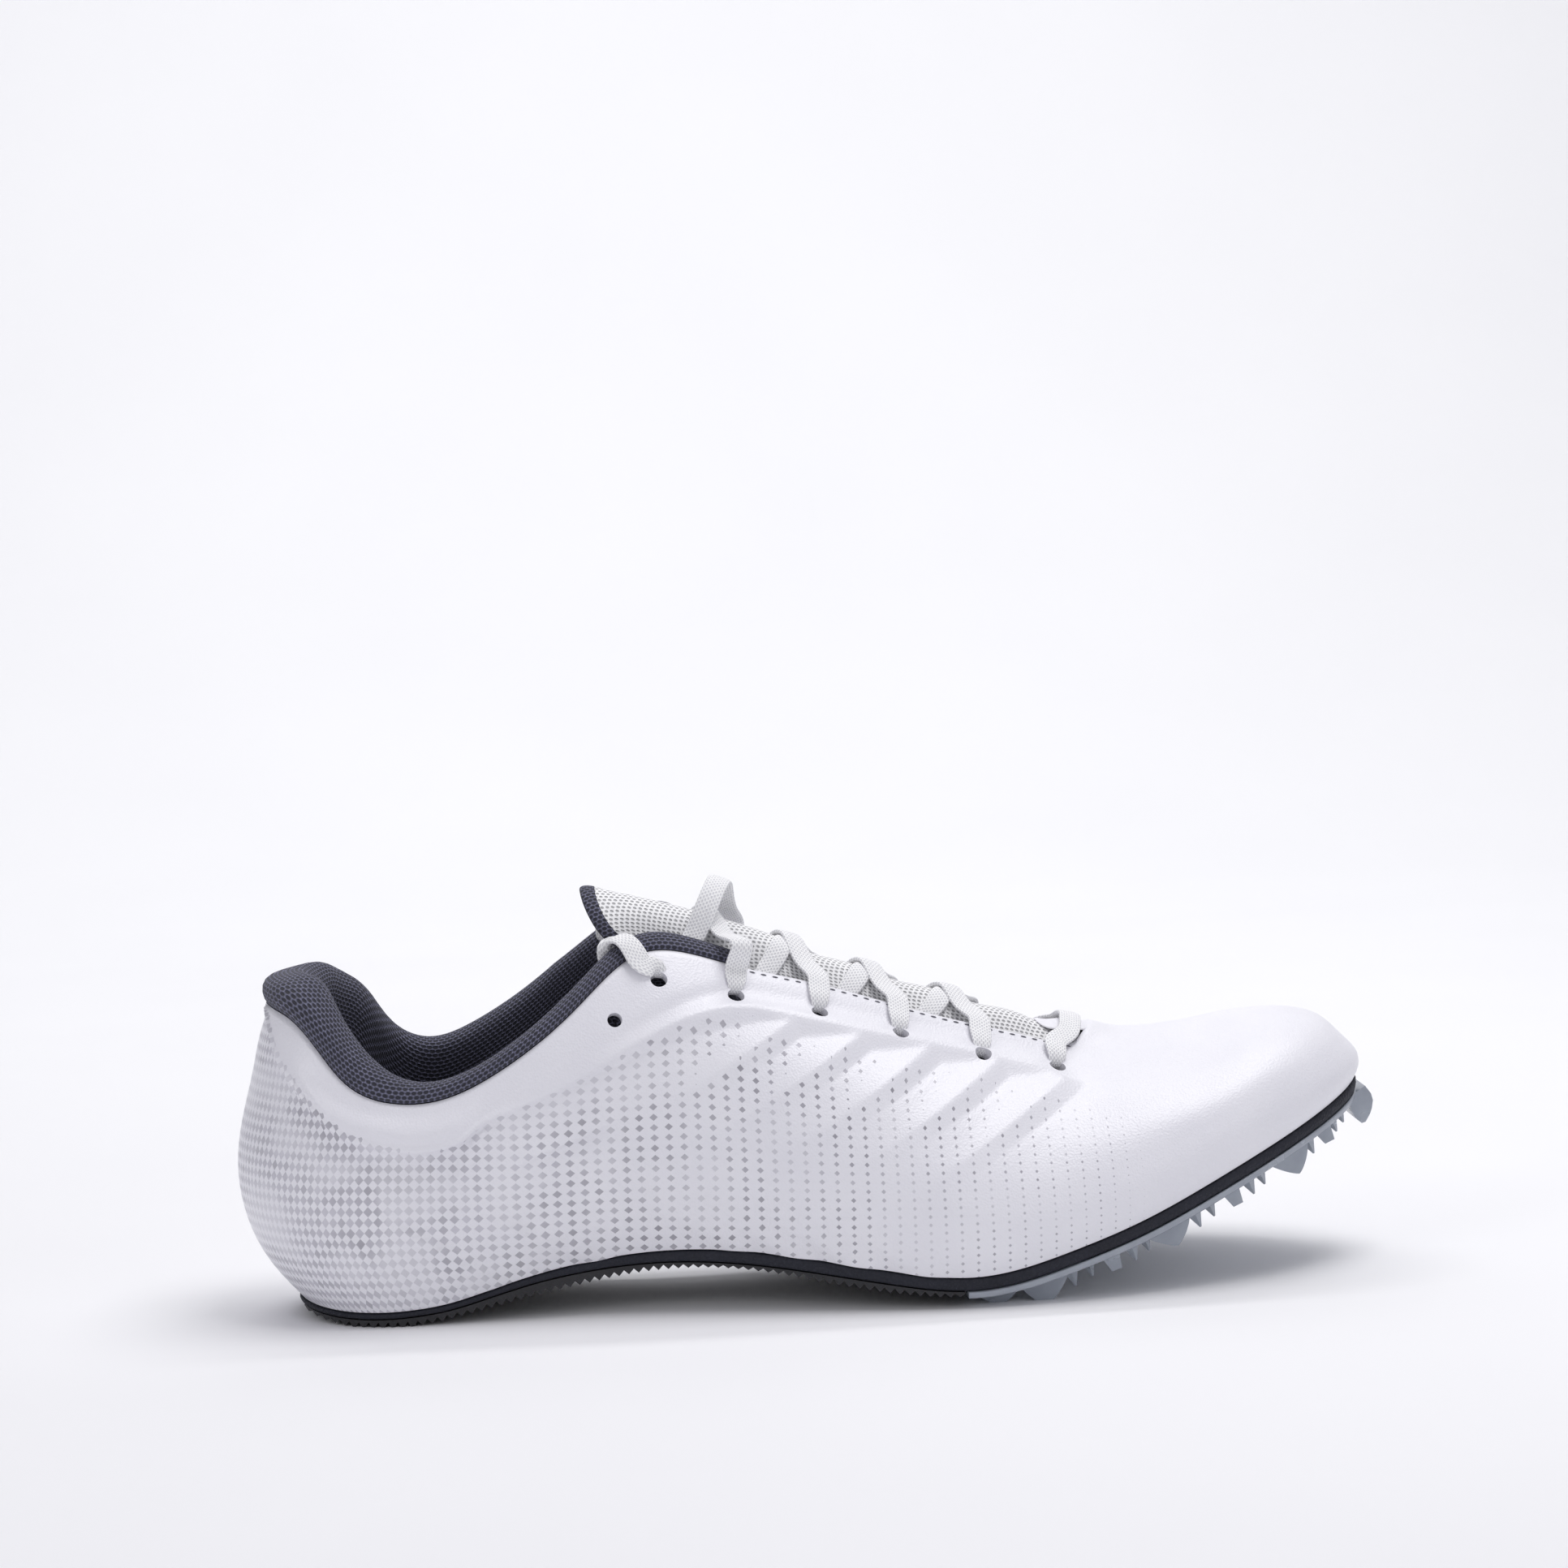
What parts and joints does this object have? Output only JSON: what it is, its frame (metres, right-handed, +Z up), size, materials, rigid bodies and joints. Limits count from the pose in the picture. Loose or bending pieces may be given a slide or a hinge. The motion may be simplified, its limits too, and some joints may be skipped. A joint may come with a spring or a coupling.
{
  "type": "track spike shoe",
  "caption": "Low running shoe with a thin moulded upper, lace throat, padded collar, thin foam midsole, ribbed rubber heel and arch, and a moulded spike plate under the forefoot.",
  "frame": {"origin": "on the floor, under the middle of the shoe's length and width, the loose lace ends left out", "axes": "+X towards the toe, +Y towards the medial side, +Z up"},
  "size_m": [0.2834, 0.095, 0.1034],
  "materials": {
    "upper": "white synthetic with a fine grain and a soft gloss",
    "lining": "dark grey knitted mesh",
    "mesh": "white air mesh",
    "foam": "matt black foam",
    "rubber": "matt black rubber",
    "plate": "frosted ice grey, slightly translucent",
    "lace": "flat white woven lace"
  },
  "bodies": {
    "root": {"upper": "upper", "collar": "lining", "tongue": "mesh", "insole": "lining", "midsole": "foam", "rubber_outsole": "rubber", "spike_plate": "plate", "lace_bar": "lace", "lace_crossing_2": "lace", "lace_crossing_3": "lace", "lace_crossing_4": "lace", "lace_top_crossing": "lace", "lace_slack": "lace", "lace_end_lateral": "lace", "lace_end_medial": "lace"}
  },
  "joints": []
}
